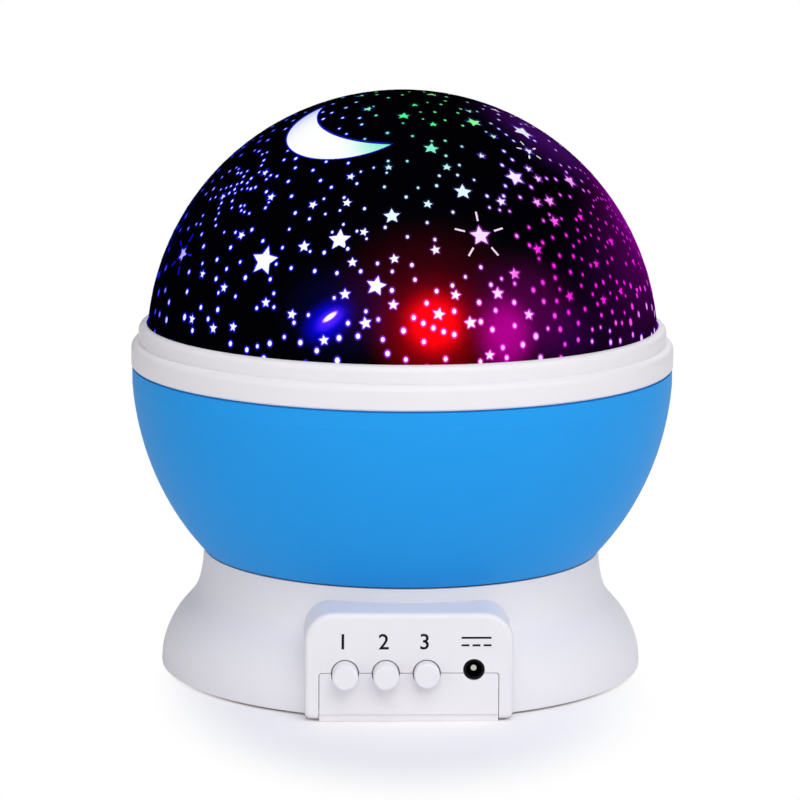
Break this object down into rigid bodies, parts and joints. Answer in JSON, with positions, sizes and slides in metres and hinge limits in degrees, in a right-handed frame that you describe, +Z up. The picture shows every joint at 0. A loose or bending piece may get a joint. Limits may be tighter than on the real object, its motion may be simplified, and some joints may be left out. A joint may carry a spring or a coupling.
{
  "type": "star night light projector",
  "caption": "Nursery star projector night light: turning bowl with a dark star-window dome on a round base with push buttons and a charging jack.",
  "frame": {"origin": "centre of the base at the surface that it stands on, on the turning axis", "axes": "+Z up along the turning axis, the console with the buttons faces -Y, +X to its right"},
  "size_m": [0.1252, 0.1252, 0.1337],
  "materials": {
    "white_plastic": "satin",
    "blue_plastic": "satin",
    "clear_plastic": "polished",
    "mask_coat": "gloss",
    "black_plastic": "matte",
    "gear_plastic": "matte",
    "inner_plastic": "matte",
    "screw_steel": "zinc plated",
    "circuit_board": "matte",
    "lamp_white": "clear epoxy",
    "lamp_red": "tinted epoxy",
    "lamp_green": "tinted epoxy",
    "lamp_blue": "tinted epoxy",
    "wire_sheath": "matte",
    "plated_contact": "nickel plated",
    "motor_steel": "drawn",
    "cell_jacket": "printed sleeve"
  },
  "bodies": {
    "base": {"base_housing": "white_plastic", "bottom_cover": "white_plastic", "drive_plate": "inner_plastic", "lamp_column": "inner_plastic", "column_screws": "screw_steel", "thrust_washer": "gear_plastic", "lamp_board": "circuit_board", "lamp_white": "lamp_white", "lamp_red": "lamp_red", "lamp_green": "lamp_green", "lamp_blue": "lamp_blue", "lamp_wires": "wire_sheath", "main_board": "circuit_board", "board_screws": "screw_steel", "controller_chip": "black_plastic", "board_socket": "inner_plastic", "switch_1": "black_plastic", "switch_2": "black_plastic", "switch_3": "black_plastic", "charging_jack": "black_plastic", "jack_contact": "plated_contact", "motor_can": "motor_steel", "motor_cap": "black_plastic", "idler_axle": "motor_steel", "cell_1": "cell_jacket", "cell_2": "cell_jacket", "cell_3": "cell_jacket", "cell_4": "cell_jacket", "contact_plates": "plated_contact", "contact_leaves": "plated_contact", "battery_leads": "wire_sheath", "motor_leads": "wire_sheath", "cover_screws": "screw_steel"},
    "dome": {"dome_shell": "clear_plastic", "star_mask": "mask_coat", "dome_collar": "white_plastic"},
    "head": {"bowl": "blue_plastic", "bowl_rim": "white_plastic", "head_deck": "black_plastic", "turntable": "white_plastic", "turntable_gear": "gear_plastic", "turntable_screws": "screw_steel"},
    "button_one": {"button_1": "white_plastic", "plunger_1": "inner_plastic"},
    "button_two": {"button_2": "white_plastic", "plunger_2": "inner_plastic"},
    "button_three": {"button_3": "white_plastic", "plunger_3": "inner_plastic"},
    "pinion": {"motor_shaft": "motor_steel", "motor_pinion": "gear_plastic"},
    "idler": {"idler_gear": "gear_plastic"},
    "door": {"battery_door": "white_plastic"}
  },
  "joints": [
    {"name": "head_turn", "type": "hinge", "parent": "base", "child": "head", "pos_m": [0, 0, 0.0256], "axis": [0, 0, 1], "continuous": true},
    {"name": "dome_twist", "type": "hinge", "parent": "head", "child": "dome", "pos_m": [0, 0, 0.0768], "axis": [0, 0, 1], "range_deg": [0, 25]},
    {"name": "idler_spin", "type": "hinge", "parent": "base", "child": "idler", "pos_m": [0, 0.028, 0.018], "axis": [0, 0, 1], "continuous": true},
    {"name": "pinion_spin", "type": "hinge", "parent": "base", "child": "pinion", "pos_m": [0.0168, 0.03445, 0.018], "axis": [0, 0, 1], "continuous": true},
    {"name": "button_one_press", "type": "slide", "parent": "base", "child": "button_one", "axis": [0, 1, 0], "range_m": [0, 0.0014], "stiffness_N_per_m": 600},
    {"name": "button_two_press", "type": "slide", "parent": "base", "child": "button_two", "axis": [0, 1, 0], "range_m": [0, 0.0014], "stiffness_N_per_m": 600},
    {"name": "button_three_press", "type": "slide", "parent": "base", "child": "button_three", "axis": [0, 1, 0], "range_m": [-0.0014, 0], "stiffness_N_per_m": 600},
    {"name": "door_swing", "type": "hinge", "parent": "base", "child": "door", "pos_m": [0.024, 0, 0.0011], "axis": [0, -1, 0], "range_deg": [0, 75]}
  ],
  "couplings": [
    {"joint": "idler_spin", "follows": "head_turn", "ratio": -3.6667},
    {"joint": "pinion_spin", "follows": "head_turn", "ratio": 9.5333}
  ]
}
